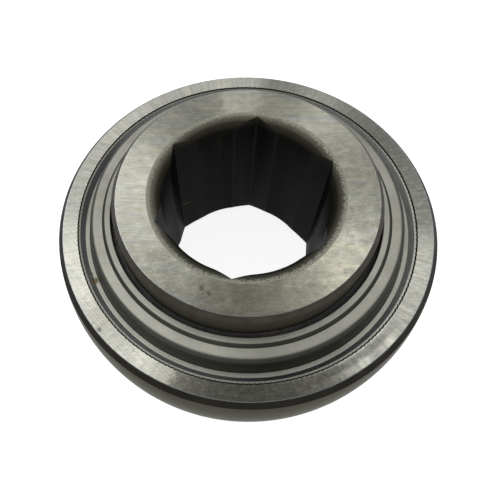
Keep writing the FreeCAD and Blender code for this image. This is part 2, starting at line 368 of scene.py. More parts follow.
class Finish:
    """One procedural material, with short calls for the nodes it is built from."""

    def __init__(self, name, metallic, roughness, sheen=(1, 1, 1)):
        self.material = bpy.data.materials.new(name)
        self.material.use_nodes = True
        self.tree = self.material.node_tree
        self.shader = self.tree.nodes["Principled BSDF"]
        self.shader.inputs["Metallic"].default_value = metallic
        self.shader.inputs["Roughness"].default_value = roughness
        self.shader.inputs["Specular Tint"].default_value = (*sheen, 1)
        given = self.node("ShaderNodeTexCoord").outputs
        self.place = given["Object"]
        self.normal = given["Normal"]
        self.steps = self.node("ShaderNodeSeparateXYZ", {0: self.place}).outputs

    def node(self, kind, inputs=None, **settings):
        return new_node(self.tree, kind, inputs, **settings)

    def math(self, operation, *values):
        return self.node("ShaderNodeMath", dict(enumerate(values)), operation=operation).outputs[0]

    def vector(self, operation, *values):
        return self.node("ShaderNodeVectorMath", dict(enumerate(values)),
                         operation=operation).outputs["Vector"]

    def measure(self, operation, *values):
        """A vector operation whose result is one number."""
        return self.node("ShaderNodeVectorMath", dict(enumerate(values)),
                         operation=operation).outputs["Value"]

    def tinted(self, colour, amount):
        """The colour, or any vector, times an amount that may vary over the surface."""
        return self.node("ShaderNodeVectorMath", {0: colour, "Scale": amount},
                         operation="SCALE").outputs["Vector"]

    def mixed(self, share, first, second):
        """Two colours mixed by a share."""
        first, second = ((*colour, 1) if isinstance(colour, tuple) else colour
                         for colour in (first, second))
        return self.node("ShaderNodeMix", {0: share, 6: first, 7: second},
                         data_type="RGBA").outputs[2]

    def between(self, value, low, high, out_low=0.0, out_high=1.0):
        """The value carried from one range to another, held at its ends."""
        return self.node("ShaderNodeMapRange", {
            "Value": value, "From Min": low, "From Max": high,
            "To Min": out_low, "To Max": out_high}).outputs["Result"]

    def product(self, *values):
        whole = values[0]
        for value in values[1:]:
            whole = self.math("MULTIPLY", whole, value)
        return whole

    def noise(self, vector, detail=3.0, rough=0.55):
        return self.node("ShaderNodeTexNoise", {
            "Vector": vector, "Scale": 1.0, "Detail": detail, "Roughness": rough}).outputs["Fac"]

    def marks(self, length, width, turn=0.0, detail=3.0, rough=0.55):
        """Noise in marks about so long and so wide, in millimetres, turned from the X axis."""
        turned = self.node("ShaderNodeVectorRotate", {
            "Vector": self.place, "Angle": math.radians(-turn)}, rotation_type="Z_AXIS").outputs[0]
        scale = (1 / (length * MM), 1 / (width * MM), 1 / (width * MM))
        return self.noise(self.node("ShaderNodeMapping", {
            "Vector": turned, "Scale": scale}).outputs[0], detail, rough)

    def contrast(self, value, spread, low=0.3, high=0.7):
        """Noise made a factor about 1, from 1 - spread to 1 + spread."""
        swing = self.math("MULTIPLY", self.between(value, low, high, -1, 1), spread)
        return self.math("ADD", swing, 1.0)

    def streaks(self, count, along=0.05, detail=3.0):
        """Noise that runs out from the axis in about so many streaks."""
        spread = self.tinted(self.away(), count / UNIT_CIRCLE)
        rise = self.node("ShaderNodeCombineXYZ", {2: self.product(self.radius(), along)})
        return self.noise(self.vector("ADD", spread, rise.outputs[0]), detail)

    def circles(self, per_mm, around=1.0, detail=3.0):
        """Noise that runs round the axis in fine circles."""
        slow = self.tinted(self.away(), around)
        both = self.math("ADD", self.radius(), self.height())
        rise = self.node("ShaderNodeCombineXYZ", {2: self.product(both, per_mm)})
        return self.noise(self.vector("ADD", slow, rise.outputs[0]), detail)

    def flat(self):
        """Place on the bearing's middle plane."""
        return self.node("ShaderNodeCombineXYZ", {0: self.steps["X"], 1: self.steps["Y"]}).outputs[0]

    def away(self):
        """Direction away from the bearing's axis."""
        return self.vector("NORMALIZE", self.flat())

    def outward(self):
        """How far the surface faces away from the axis, from -1 to 1."""
        return self.measure("DOT_PRODUCT", self.away(), self.normal)

    def radius(self):
        """Distance from the bearing's axis, in millimetres."""
        x, y = self.steps["X"], self.steps["Y"]
        squares = self.math("ADD", self.math("MULTIPLY", x, x), self.math("MULTIPLY", y, y))
        return self.math("MULTIPLY", self.math("SQRT", squares), 1 / MM)

    def height(self):
        """Height above the bearing's middle plane, in millimetres."""
        return self.math("MULTIPLY", self.steps["Z"], 1 / MM)

    def azimuth(self):
        """Angle round the axis as a share of a turn, 0.5 on +X and 0 or 1 on -X."""
        angle = self.math("ARCTAN2", self.steps["Y"], self.steps["X"])
        return self.math("ADD", self.math("DIVIDE", angle, 2 * math.pi), 0.5)

    def wandering_azimuth(self, share):
        """The azimuth, its even turn disturbed so that sectors have uneven edges."""
        return self.math("ADD", self.azimuth(), self.between(
            self.marks(5, 5, 0, 4.0, 0.65), 0.25, 0.75, -share, share))

    def zone(self, azimuth, middle, reach, soft, inside, outside):
        """One value inside a sector and another outside it, with a soft change between."""
        off = self.math("ABSOLUTE", self.math("SUBTRACT", azimuth, middle))
        return self.between(off, reach, reach + soft, inside, outside)

    def spots(self, places, wobble):
        """1 inside round spots of the upper side, (x, y, size), their edges broken up by noise."""
        upper = self.between(self.height(), 0, 1)
        ragged = self.between(wobble, 0.3, 0.7, -0.5, 0.5)
        whole = None
        for x, y, size in places:
            off = self.measure("DISTANCE", self.flat(), (x * MM, y * MM, 0))
            off = self.math("ADD", self.math("MULTIPLY", off, 1 / (size * MM)), ragged)
            spot = self.product(self.between(off, 1.15, 0.7), upper)
            whole = spot if whole is None else self.math("MAXIMUM", whole, spot)
        return whole

    def ramp(self, value, stops):
        """A smooth grey or colour ramp through the stops (place, colour)."""
        made = self.node("ShaderNodeValToRGB", {0: value})
        band = made.color_ramp
        band.interpolation = "EASE"
        while len(band.elements) < len(stops):
            band.elements.new(0.5)
        for element, (where, colour) in zip(band.elements, stops):
            element.position = where
            element.color = (*colour, 1) if isinstance(colour, tuple) else (colour,) * 3 + (1,)
        return made.outputs["Color"]

    def finish(self, colour, roughness=None, bump=None, depth=0.01, strength=1.0):
        """Join the parts to the shader; depth is the bump's height in millimetres."""
        self.tree.links.new(colour, self.shader.inputs["Base Color"])
        if roughness is not None:
            self.tree.links.new(roughness, self.shader.inputs["Roughness"])
        if bump is not None:
            relief = self.node("ShaderNodeBump", {
                "Strength": strength, "Distance": depth * MM, "Height": bump}).outputs[0]
            self.tree.links.new(relief, self.shader.inputs["Normal"])
        return self.material


# Colours of the finishes

FACE_COOL = (0.553, 0.560, 0.523)
FACE_WARM = (0.575, 0.563, 0.478)
FACE_DULL = (0.60, 0.585, 0.50)
HUB_COOL = (0.553, 0.560, 0.510)
HUB_WARM = (0.580, 0.562, 0.455)
HUB_GOLDEN = (0.590, 0.565, 0.440)
# Bluish white of the painted highlight on the worn edges
EDGE_HIGHLIGHT_STEEL = (0.62, 0.64, 0.66)
SCALE_DARK = (0.019, 0.0175, 0.015)
SCALE_BROWN = (0.029, 0.025, 0.019)
SCALE_SHEEN = (0.24, 0.22, 0.19)
HUB_SCALE_DARK = (0.056, 0.052, 0.044)
HUB_SCALE_BROWN = (0.082, 0.073, 0.057)
HUB_SCALE_SHEEN = (0.38, 0.35, 0.29)
PATCH_BROWN = (0.070, 0.060, 0.044)
RUST = (0.072, 0.053, 0.036)
# Very dark, as painted shade of the shaded floor that the spherical band reflects
SPHERE_SHADED_STEEL = (0.067, 0.064, 0.058)
SPHERE_SHEEN = (0.50, 0.50, 0.46)
RACE_STEEL = (0.55, 0.55, 0.53)
BORE_DARK = (0.0100, 0.0098, 0.0094)
BORE_BROWN = (0.0170, 0.0155, 0.0130)
BORE_CORNER = (0.019, 0.019, 0.0195)
BORE_EDGE_HIGHLIGHT = (0.027, 0.027, 0.024)
BORE_SHEEN = (0.05, 0.05, 0.046)
SCRATCH_BROWN = (0.075, 0.056, 0.030)
SATIN_STEEL = (0.460, 0.456, 0.400)
# Bluish painted reflection tint of the shroud's slopes
SLOPE_REFLECTION_TINT = (0.44, 0.46, 0.49)
GREASE_OLIVE = (0.100, 0.095, 0.060)
GREASE_GOLD = (0.190, 0.145, 0.042)
RUBBER_BLACK = (0.015, 0.014, 0.013)
RUBBER_FILM = (0.034, 0.031, 0.023)
RUBBER_OLIVE = (0.060, 0.054, 0.036)

# Single marks on the upper side: (x, y, size)
FACE_SMUDGE = ((-23.8, -28.9, 0.5),)
# Painted highlights at the front right of the outer ring's face
FACE_PAINTED_HIGHLIGHTS = ((25.7, -27.2, 1.2), (30.1, -22.9, 1.0))
HUB_PITS = ((-5.0, -21.1, 0.55), (-3.6, -21.8, 0.45))
HUB_BROWN_PATCH = ((6.0, -25.5, 7.5),)
HUB_RUST = ((-6.3, -25.2, 0.45),)
SHROUD_SMEAR = ((-28.75, -17.45, 0.60), (-28.25, -18.45, 0.62), (-27.60, -19.55, 0.50))
SHROUD_GREASE = ((-27.35, -18.6, 0.62), (-27.7, -18.9, 0.55))
RUBBER_OLIVE_SPOTS = ((-24.3, -12.6, 2.6), (9.3, -25.0, 3.6))

# Scratch on the bore's left wall: its middle (x, y, z) and half sizes
BORE_SCRATCH = (-15.0, 9.6, -5.7)
BORE_SCRATCH_SIZE = (1.6, 1.3, 0.34)

# Light and dark sectors on the end faces, partly their own ground finish and partly painted
# reflections and highlights of the studio: (share of a turn, brightness), from -X round by -Y
OUTER_FACE_FINISH_AND_PAINTED_LIGHT = (
    (0.00, 0.63), (0.07, 1.04), (0.10, 1.12), (0.13, 0.87), (0.155, 1.00), (0.185, 1.40),
    (0.209, 1.02), (0.217, 0.36), (0.233, 0.23), (0.25, 0.17), (0.275, 0.135), (0.30, 0.16),
    (0.335, 0.24), (0.365, 0.62), (0.40, 0.655), (0.44, 0.76), (0.475, 0.78), (0.495, 0.66),
    (0.52, 0.41), (0.62, 0.315), (0.65, 0.40), (0.69, 0.655), (0.735, 0.43), (0.775, 0.74),
    (0.82, 0.62), (0.86, 0.55), (0.905, 0.70), (0.92, 0.69), (0.95, 0.60), (1.00, 0.63))
HUB_FACE_FINISH_AND_PAINTED_LIGHT = (
    (0.00, 0.79), (0.04, 0.78), (0.09, 0.71), (0.16, 0.525), (0.20, 0.45), (0.23, 0.315),
    (0.27, 0.246), (0.31, 0.31), (0.345, 0.45), (0.39, 0.74), (0.43, 0.79), (0.48, 0.55),
    (0.55, 0.455), (0.60, 0.575), (0.66, 0.765), (0.70, 0.51), (0.735, 0.44), (0.765, 0.59),
    (0.797, 0.59), (0.812, 0.365), (0.845, 0.31), (0.89, 0.365), (0.933, 0.50), (0.95, 0.62),
    (0.975, 0.76), (1.00, 0.79))

# How streaked the outer ring's face is, how bright the painted highlight on its worn edge is,
# and the painted light and shade on the shroud's flats and slopes, each by the share of a turn
FACE_STREAKS = (
    (0.00, 0.40), (0.03, 0.25), (0.20, 0.25), (0.215, 0.10), (0.34, 0.25), (0.40, 0.90),
    (0.49, 0.70), (0.52, 0.35), (0.66, 0.35), (0.71, 0.45), (0.74, 0.55), (0.95, 0.55),
    (1.00, 0.40))
EDGE_HIGHLIGHT_SECTORS = (
    (0.00, 1.00), (0.14, 0.90), (0.20, 0.40), (0.36, 0.35), (0.44, 0.80), (0.58, 0.70),
    (0.66, 0.35), (0.90, 0.40), (0.97, 0.90), (1.00, 1.00))
SHEET_PAINTED_LIGHT = (
    (0.00, 0.62), (0.066, 0.78), (0.122, 0.93), (0.177, 1.05), (0.233, 1.00), (0.289, 0.72),
    (0.344, 0.73), (0.40, 0.80), (0.455, 0.80), (0.511, 0.74), (0.57, 0.77), (0.622, 0.62),
    (0.90, 0.58), (0.955, 0.66), (1.00, 0.62))
SLOPE_PAINTED_LIGHT = (
    (0.00, 0.77), (0.066, 1.00), (0.177, 1.12), (0.233, 0.83), (0.289, 0.40), (0.344, 0.55),
    (0.40, 0.88), (0.455, 1.40), (0.52, 1.60), (0.62, 1.40), (0.90, 1.40), (0.955, 0.72),
    (1.00, 0.77))

# Painted light and shade on the sheet by how it leans: 0 faces the axis, 0.5 lies level, 1 faces
# away
SHEET_PAINTED_LEAN_SHADE = (
    (0.0, 1.6), (0.12, 1.6), (0.24, 0.544), (0.42, 0.704), (0.49, 0.992), (0.53, 1.024),
    (0.71, 0.24), (0.90, 0.144), (0.948, 0.144), (0.966, 0.224))

# Colour of the bore's mouth by the depth below the face, as a share of the mouth's shade depth: its
# own brown tone, darkened further in by painted shade
MOUTH_SHADE_DEPTH = 3.0
MOUTH_BROWNING_AND_SHADE = (
    (0.0, (0.30, 0.30, 0.25)), (0.06, (0.125, 0.120, 0.095)), (0.28, (0.042, 0.038, 0.028)),
    (1.0, (0.020, 0.019, 0.016)))


# Finishes

def front_right_strokes_and_highlights(steel, azimuth, ragged):
    """Bright strokes of the grinding wheel at the front right of the outer ring's face, and painted
    highlights in round spots beside them.
    """
    tooth = steel.math("SINE", steel.product(steel.azimuth(), 2 * math.pi * STAKE_TEETH))
    strokes = steel.product(
        steel.between(steel.radius(), 35.35, 34.95),
        steel.zone(azimuth, 0.355, 0.04, 0.03, 0.42, 0.0),
        steel.between(tooth, -0.2, 0.8, 0.35, 1.0))
    painted_highlights = steel.between(steel.spots(FACE_PAINTED_HIGHLIGHTS, ragged), 0, 1, 0, 0.26)
    return steel.math("MAXIMUM", strokes, painted_highlights)


def ground_outer_face():
    """Ground end face of the outer ring, streaked outwards and crossed by straight scratches."""
    steel = Finish("ground_outer_face", 1.0, 0.32)
    ragged = steel.between(steel.marks(1.1, 0.5, 35, 5.0, 0.8), 0.3, 0.7, -0.006, 0.006)
    azimuth = steel.math("ADD", steel.wandering_azimuth(0.005), ragged)
    crossed = steel.zone(azimuth, 0.115, 0.085, 0.02, 1.0, 0.25)
    dull = steel.zone(azimuth, 0.275, 0.055, 0.02, 1.0, 0.0)
    streaky = steel.ramp(azimuth, FACE_STREAKS)
    smooth = steel.math("MAXIMUM", streaky, crossed)
    rays = steel.streaks(380, 0.12, 5.0)
    level = steel.marks(9, 0.22, HEXAGON_TURN + 6, 4.0, 0.6)
    slanted = steel.marks(12, 0.22, HEXAGON_TURN - 42, 4.0, 0.65)
    crossing = steel.marks(7, 0.26, HEXAGON_TURN + 34, 4.0, 0.6)
    blotches = steel.marks(1.3, 1.0, 20, 6.0, 0.75)
    grain = steel.marks(0.34, 0.30, 0, 2.0, 0.7)
    flecks = steel.marks(0.55, 0.40, 25, 4.0, 0.8)
    smudge = steel.spots(FACE_SMUDGE, flecks)
    # Painted highlight and shade at the front right: darker at the middle radius, lighter inside and
    # outside it
    off_middle = steel.math("ABSOLUTE", steel.math("SUBTRACT", steel.radius(), 36.0))
    painted_bands = steel.contrast(steel.between(off_middle, 1.0, 0.4),
                            steel.zone(azimuth, 0.372, 0.025, 0.025, 0.28, 0.0), 1, 0)
    # The sector ramp paints reflections and highlights round the face, partly its own ground finish
    amount = steel.product(
        steel.ramp(azimuth, OUTER_FACE_FINISH_AND_PAINTED_LIGHT),
        steel.contrast(rays, steel.between(streaky, 0, 1, 0.04, 0.20), 0.36, 0.64),
        steel.contrast(level, 0.09, 0.36, 0.64),
        steel.contrast(slanted, steel.product(crossed, 0.15), 0.36, 0.64),
        steel.contrast(crossing, steel.product(crossed, 0.04), 0.36, 0.64),
        steel.contrast(blotches, steel.between(smooth, 0.2, 0.55, 0.40, 0.07)),
        steel.contrast(grain, 0.12), steel.between(smudge, 0, 1, 1, 0.5), painted_bands)
    amount = steel.math("ADD", amount, front_right_strokes_and_highlights(steel, azimuth, flecks))
    amount = steel.math("ADD", amount, steel.product(
        steel.between(flecks, 0.56, 0.70, 0, 0.21), steel.between(dull, 0, 1, 0.5, 1.0)))
    amount = steel.math("ADD", amount, steel.product(
        steel.between(slanted, 0.60, 0.68, 0, 0.09), crossed))
    tint = steel.mixed(steel.between(slanted, 0.35, 0.65), FACE_COOL, FACE_WARM)
    tint = steel.mixed(dull, tint, FACE_DULL)
    rough = steel.between(blotches, 0.3, 0.7, 0.38, 0.28)
    return steel.finish(steel.tinted(tint, amount), rough, level, 0.006, 0.5)


def ground_hub_face():
    """Ground end face of the inner ring, with fine level lines and clouded patches."""
    steel = Finish("ground_hub_face", 1.0, 0.34)
    azimuth = steel.wandering_azimuth(0.012)
    front = steel.zone(azimuth, 0.205, 0.055, 0.04, 1.0, 0.0)
    right = steel.zone(azimuth, 0.47, 0.12, 0.05, 1.0, 0.0)
    clouded = steel.math("MAXIMUM", front, right)
    level = steel.marks(12, 0.24, HEXAGON_TURN + 1, 5.0, 0.65)
    crossing = steel.marks(8, 0.26, HEXAGON_TURN + 14, 4.0, 0.6)
    crinkles = steel.marks(1.1, 0.45, HEXAGON_TURN + 32, 5.0, 0.75)
    drift = steel.marks(5.5, 3.0, HEXAGON_TURN - 35, 3.0)
    clouds = steel.marks(1.7, 1.2, 10, 6.0, 0.75)
    grain = steel.marks(0.36, 0.30, 0, 2.0, 0.7)
    scratches = steel.between(steel.marks(7, 0.16, 38, 1.0), 0.70, 0.76, 0, 0.16)
    pits = steel.spots(HUB_PITS, steel.marks(0.7, 0.5, 30, 4.0, 0.75))
    # The sector ramp paints reflections and highlights round the face, partly its own ground finish
    amount = steel.product(
        steel.ramp(azimuth, HUB_FACE_FINISH_AND_PAINTED_LIGHT),
        steel.contrast(level, steel.between(clouded, 0, 1, 0.14, 0.06), 0.36, 0.64),
        steel.contrast(crossing, 0.06, 0.36, 0.64),
        steel.contrast(crinkles, steel.between(front, 0, 1, 0.05, 0.20)),
        steel.contrast(drift, 0.09),
        steel.contrast(clouds, steel.between(clouded, 0, 1, 0.14, 0.24)),
        steel.contrast(grain, 0.10), steel.between(pits, 0, 1, 1, 0.55))
    amount = steel.math("ADD", amount, scratches)
    tint = steel.mixed(steel.between(steel.marks(14, 0.9, HEXAGON_TURN, 2.0), 0.35, 0.65),
                       HUB_COOL, HUB_WARM)
    tint = steel.mixed(steel.zone(azimuth, 0.33, 0.08, 0.04, 0.7, 0.0), tint, HUB_GOLDEN)
    rough = steel.between(clouds, 0.3, 0.7, 0.40, 0.30)
    return steel.finish(steel.tinted(tint, amount), rough, level, 0.006, 0.5)


def worn_edge_highlight():
    """Bright line where the ground face breaks into the chamfer: worn steel with a painted
    highlight, brighter or darker by the share of a turn.
    """
    steel = Finish("worn_edge_highlight", 1.0, 0.25)
    wear = steel.contrast(steel.marks(0.8, 0.8, 0, 4.0, 0.7), 0.4)
    amount = steel.product(wear, steel.ramp(steel.azimuth(), EDGE_HIGHLIGHT_SECTORS))
    return steel.finish(steel.tinted(EDGE_HIGHLIGHT_STEEL, amount), None, wear, 0.003, 0.3)


def rim_scale():
    """Dark scale that hardening left on the outer ring's chamfers."""
    scale = Finish("rim_scale", 0.5, 0.45, SCALE_SHEEN)
    patches = scale.marks(3.5, 3.0, 0, 4.0)
    turning = scale.circles(9.0)
    colour = scale.mixed(scale.between(patches, 0.35, 0.7), SCALE_DARK, SCALE_BROWN)
    rough = scale.between(patches, 0.3, 0.7, 0.50, 0.38)
    return scale.finish(colour, rough, turning, 0.006, 0.5)


def hub_scale():
    """Brown-black scale of the inner ring's land and chamfers, browner low down at the front."""
    scale = Finish("hub_scale", 0.3, 0.5, HUB_SCALE_SHEEN)
    patches = scale.marks(2.6, 2.2, 0, 4.0, 0.65)
    turning = scale.circles(9.0)
    low = scale.between(scale.height(), 16.8, 14.0)
    brown_patch = scale.product(scale.spots(HUB_BROWN_PATCH, patches), low)
    colour = scale.mixed(scale.between(patches, 0.35, 0.7), HUB_SCALE_DARK, HUB_SCALE_BROWN)
    colour = scale.mixed(scale.spots(HUB_RUST, patches), colour, RUST)
    colour = scale.mixed(brown_patch, colour, PATCH_BROWN)
    rough = scale.between(patches, 0.3, 0.7, 0.56, 0.44)
    return scale.finish(colour, rough, turning, 0.006, 0.5)


def ground_sphere():
    """Spherical outside of the outer ring, ground in fine circles, its colour darkened as painted
    shade of the floor it reflects.
    """
    steel = Finish("ground_sphere", 1.0, 0.34, SPHERE_SHEEN)
    lines = steel.circles(14.0, 1.5)
    patches = steel.marks(9, 6, 0, 3.0)
    amount = steel.product(steel.contrast(lines, 0.12), steel.contrast(patches, 0.12))
    return steel.finish(steel.tinted(SPHERE_SHADED_STEEL, amount), None, lines, 0.004, 0.4)


def raceway_steel():
    """Polished raceways and the seats turned beside them."""
    steel = Finish("raceway_steel", 1.0, 0.16)
    lines = steel.circles(22.0, 1.0, 2.0)
    amount = steel.contrast(lines, 0.06)
    return steel.finish(steel.tinted(RACE_STEEL, amount), None, lines, 0.002, 0.3)


def bore_walls(bore, rough_rim):
    """Colour of the bore's walls: broached corners, rougher relief, painted highlights on the edges,
    one scratch.
    """
    patches = bore.marks(3, 3, 0, 4.0, 0.65)
    from_flat = bore.math("PINGPONG", bore.product(bore.azimuth(), 360.0), HALF_SIDE_DEGREES)
    off_edge = bore.math("ABSOLUTE", bore.math("SUBTRACT", from_flat, RELIEF_EDGE_DEGREES))
    edge = bore.between(off_edge, 1.2, 0.3)
    corner = bore.between(from_flat, RELIEF_EDGE_DEGREES - 0.2, RELIEF_EDGE_DEGREES + 0.2)
    colour = bore.mixed(bore.between(patches, 0.35, 0.7), BORE_DARK, BORE_BROWN)
    colour = bore.mixed(corner, colour, BORE_CORNER)
    colour = bore.tinted(colour, bore.contrast(bore.streaks(60, 0.01, 3.0), 0.35))
    # Painted highlights along the edges between the flats and the relief
    colour = bore.mixed(bore.product(edge, 0.7), colour, BORE_EDGE_HIGHLIGHT)
    off = bore.vector("SUBTRACT", bore.place, tuple(v * MM for v in BORE_SCRATCH))
    off = bore.vector("MULTIPLY", off, tuple(1 / (size * MM) for size in BORE_SCRATCH_SIZE))
    off = bore.math("ADD", bore.measure("LENGTH", off), bore.between(rough_rim, 0.3, 0.7, -0.5, 0.5))
    return bore.mixed(bore.between(off, 1.1, 0.7), colour, SCRATCH_BROWN)


def bore_mouth(bore, rough_rim, depth):
    """Colour of the bore's mouth: light at its rim, browner and darker further in with painted
    shade, with more painted shade on one side, chipped at the back.
    """
    mouth = bore.ramp(bore.between(depth, 0.0, MOUTH_SHADE_DEPTH), MOUTH_BROWNING_AND_SHADE)
    shaded = bore.zone(bore.azimuth(), 0.36, 0.20, 0.10, 0.52, 1.12)
    shaded = bore.between(depth, 0.02, 0.20, 1.10, shaded)
    chips = bore.product(
        bore.between(bore.marks(0.5, 0.32, 20, 3.0, 0.8), 0.58, 0.70, 0, 2.2),
        bore.between(depth, 0.7, 0.2),
        bore.zone(bore.azimuth(), 0.78, 0.17, 0.06, 0.8, 0.2))
    amount = bore.product(bore.contrast(rough_rim, 0.35), shaded)
    return bore.tinted(mouth, bore.math("ADD", amount, chips))


def broached_bore():
    """Near black bore: broached corners, a rougher round relief, and mouths browner at the rim and
    darkened further in by painted shade.
    """
    bore = Finish("broached_bore", 0.85, 0.45, BORE_SHEEN)
    bore.shader.inputs["Specular IOR Level"].default_value = 0.3
    lines = bore.streaks(900, 0.01, 2.0)
    rough_rim = bore.marks(0.35, 0.30, 0, 2.0, 0.7)
    depth = bore.math("SUBTRACT", INNER_FACE, bore.math("ABSOLUTE", bore.height()))
    depth = bore.math("ADD", depth, bore.between(rough_rim, 0.3, 0.7, -0.16, 0.16))
    inside = bore.between(depth, 1.6, 3.2)
    colour = bore.mixed(inside, bore_mouth(bore, rough_rim, depth), bore_walls(bore, rough_rim))
    bore.tree.links.new(bore.between(inside, 0, 1, 0.45, 0.73), bore.shader.inputs["Metallic"])
    return bore.finish(colour, bore.between(inside, 0, 1, 0.55, 0.42), lines, 0.01, 0.5)


def satin_sheet():
    """Satin sheet of the shroud with painted shade on its drafted walls, painted highlights on its
    lip, painted light and shade round the ring, a bluish painted reflection tint on its slopes, and
    a spot of old grease.
    """
    sheet = Finish("satin_sheet", 1.0, 0.42)
    grain = sheet.marks(0.30, 0.26, 0, 3.0, 0.7)
    drift = sheet.marks(5, 4, 0, 3.0)
    specks = sheet.between(sheet.marks(0.5, 0.45, 0, 1.0), 0.76, 0.80, 1.0, 0.72)
    facing = sheet.between(sheet.outward(), -1, 1)
    sloped = sheet.between(facing, 0.24, 0.12)
    azimuth = sheet.wandering_azimuth(0.006)
    # Painted light and shade round the ring, one ramp for the flats and one for the slopes
    painted_sectors = sheet.between(sloped, 0, 1, sheet.ramp(azimuth, SHEET_PAINTED_LIGHT),
                            sheet.ramp(azimuth, SLOPE_PAINTED_LIGHT))
    # Painted highlight along the rim's crest and beyond it, brighter near +X and darker elsewhere
    # round the ring
    crest_painted_light = sheet.zone(azimuth, 0.49, 0.05, 0.13, 1.25, 0.66)
    crest_highlight = sheet.between(sheet.radius(), 34.20, 34.42, 1.0, crest_painted_light)
    amount = sheet.product(
        sheet.contrast(grain, 0.10), sheet.contrast(drift, 0.05), specks,
        sheet.ramp(facing, SHEET_PAINTED_LEAN_SHADE), crest_highlight, painted_sectors)
    smear = sheet.product(sheet.spots(SHROUD_SMEAR, drift),
                          sheet.between(sheet.radius(), 33.3, 33.5, 0, 0.85))
    grease = sheet.product(sheet.spots(SHROUD_GREASE, grain),
                           sheet.between(sheet.height(), 9.0, 8.4),
                           sheet.between(sheet.radius(), 32.75, 32.95))
    # The slopes take a bluish painted reflection tint instead of the satin colour
    colour = sheet.tinted(sheet.mixed(sloped, SATIN_STEEL, SLOPE_REFLECTION_TINT), amount)
    colour = sheet.mixed(smear, colour, GREASE_OLIVE)
    colour = sheet.mixed(grease, colour, GREASE_GOLD)
    clean = sheet.between(sheet.math("MAXIMUM", smear, grease), 0, 1, 1.0, 0.0)
    sheet.tree.links.new(clean, sheet.shader.inputs["Metallic"])
    rough = sheet.between(drift, 0.3, 0.7, 0.46, 0.40)
    return sheet.finish(colour, rough, grain, 0.003, 0.4)


def hidden_metal(name, colour, roughness, grain_mm):
    """Plain worked metal for what is sealed inside the bearing."""
    metal = Finish(name, 1.0, roughness)
    grain = metal.marks(grain_mm, grain_mm)
    rough = metal.between(grain, 0.3, 0.7, roughness + 0.05, roughness - 0.04)
    return metal.finish(metal.tinted(colour, metal.contrast(grain, 0.09)), rough, grain, 0.002, 0.3)


def seal_rubber():
    """Black nitrile rubber with a film of grease and lighter olive spots."""
    rubber = Finish("seal_rubber", 0.0, 0.55)
    film = rubber.marks(1.4, 1.1, 0, 4.0, 0.7)
    olive_spots = rubber.product(rubber.spots(RUBBER_OLIVE_SPOTS, film), rubber.between(film, 0.42, 0.56))
    colour = rubber.mixed(rubber.between(film, 0.62, 0.78), RUBBER_BLACK, RUBBER_FILM)
    colour = rubber.mixed(olive_spots, colour, RUBBER_OLIVE)
    return rubber.finish(colour, rubber.between(film, 0.4, 0.7, 0.6, 0.35), film, 0.05, 0.6)


# Outer ring

def pressed_place(radius, height):
    """Where a stake tooth presses a point of the ring's upper side: its radius and height."""
    depth = OUTER_FACE - height
    if abs(radius - STAKE_LIP) < STAKE_LIP_WIDTH + CLOSE and depth < STAKE_LIP_DROP + CLOSE:
        return radius - STAKE_TOOTH_PUSH, height
    if abs(depth - STAKE_DEPTH) < CLOSE:
        return STAKE_TIP, OUTER_FACE - STAKE_TIP_TOP
    if abs(depth - STAKE_FOOT) < CLOSE:
        return STAKE_TIP, OUTER_FACE - STAKE_TIP_FOOT
    return radius, height


def outer_ring_outline():
    """Section of the outer ring, from its upper chamfer inwards and round."""
    chamfer_top = OUTER_FACE - OUTER_CHAMFER
    sphere_edge = math.sqrt(OUTER_RADIUS ** 2 - chamfer_top ** 2)
    upper = [
        (sphere_edge, chamfer_top, OUTER_EDGE_ROUNDING, SCALE),
        (sphere_edge - OUTER_CHAMFER, OUTER_FACE, OUTER_EDGE_ROUNDING, FACE),
        (STAKE_LIP, OUTER_FACE, 0, SCALE),
        (STAKE_LIP - STAKE_LIP_WIDTH, OUTER_FACE - STAKE_LIP_DROP, 0, SCALE),
        (SEAT_RADIUS, OUTER_FACE - STAKE_DEPTH, 0, SCALE),
        (SEAT_RADIUS, OUTER_FACE - STAKE_FOOT, 0, RACE),
        (SEAT_RADIUS, OUTER_FACE - STAKE_END, 0, RACE),
        (SEAT_RADIUS, SEAT_SHOULDER, 0, RACE),
        (OUTER_LAND, SEAT_SHOULDER, OUTER_LAND_ROUNDING, RACE),
    ]
    groove = raceway_corners(OUTER_LAND, OUTER_GROOVE_BOTTOM)
    lower = with_last_finish(lower_side(upper), SPHERE)
    sphere = arc_corners((sphere_edge, -chamfer_top), (OUTER_RADIUS, 0),
                         (sphere_edge, chamfer_top), SPHERE_STEPS, SPHERE)[1:-1]
    return rounded_outline(upper + groove + lower + sphere, worn_and_highlit=EDGE)


def make_outer_ring(finishes):
    """Outer ring in sectors of one stake tooth, each tooth pressed over the shroud's rim."""
    outline = outer_ring_outline()
    step = 360 / STAKE_TEETH
    rows = []
    for radius, height, _ in outline:
        side = math.copysign(1, height)
        as_turned = (radius, abs(height))
        row = []
        for share, pressed in STAKE_TOOTH:
            r, z = pressed_place(*as_turned) if pressed else as_turned
            row.append(place(r, step * share, side * z))
        rows.append(row)
    sector = sector_mesh("outer_ring_sector", rows, [finish for _, _, finish in outline])
    return ring_from_sector("outer_ring_ground", sector, STAKE_TEETH, finishes)


# Inner ring

def hexagon_radius(from_corner):
    """Distance from the axis to the hexagon's wall, at an angle from one of its corners."""
    angle = math.radians(from_corner)
    half_side = math.radians(HALF_SIDE_DEGREES)
    centre = (HEX_HALF - HEX_CORNER_ROUNDING) / math.cos(half_side)
    tangent = math.atan2(HEX_CORNER_ROUNDING / 2, centre + HEX_CORNER_ROUNDING * math.cos(half_side))
    if abs(angle) < tangent:
        return centre * math.cos(angle) + math.sqrt(
            HEX_CORNER_ROUNDING ** 2 - (centre * math.sin(angle)) ** 2)
    return HEX_HALF / math.cos(half_side - abs(angle))


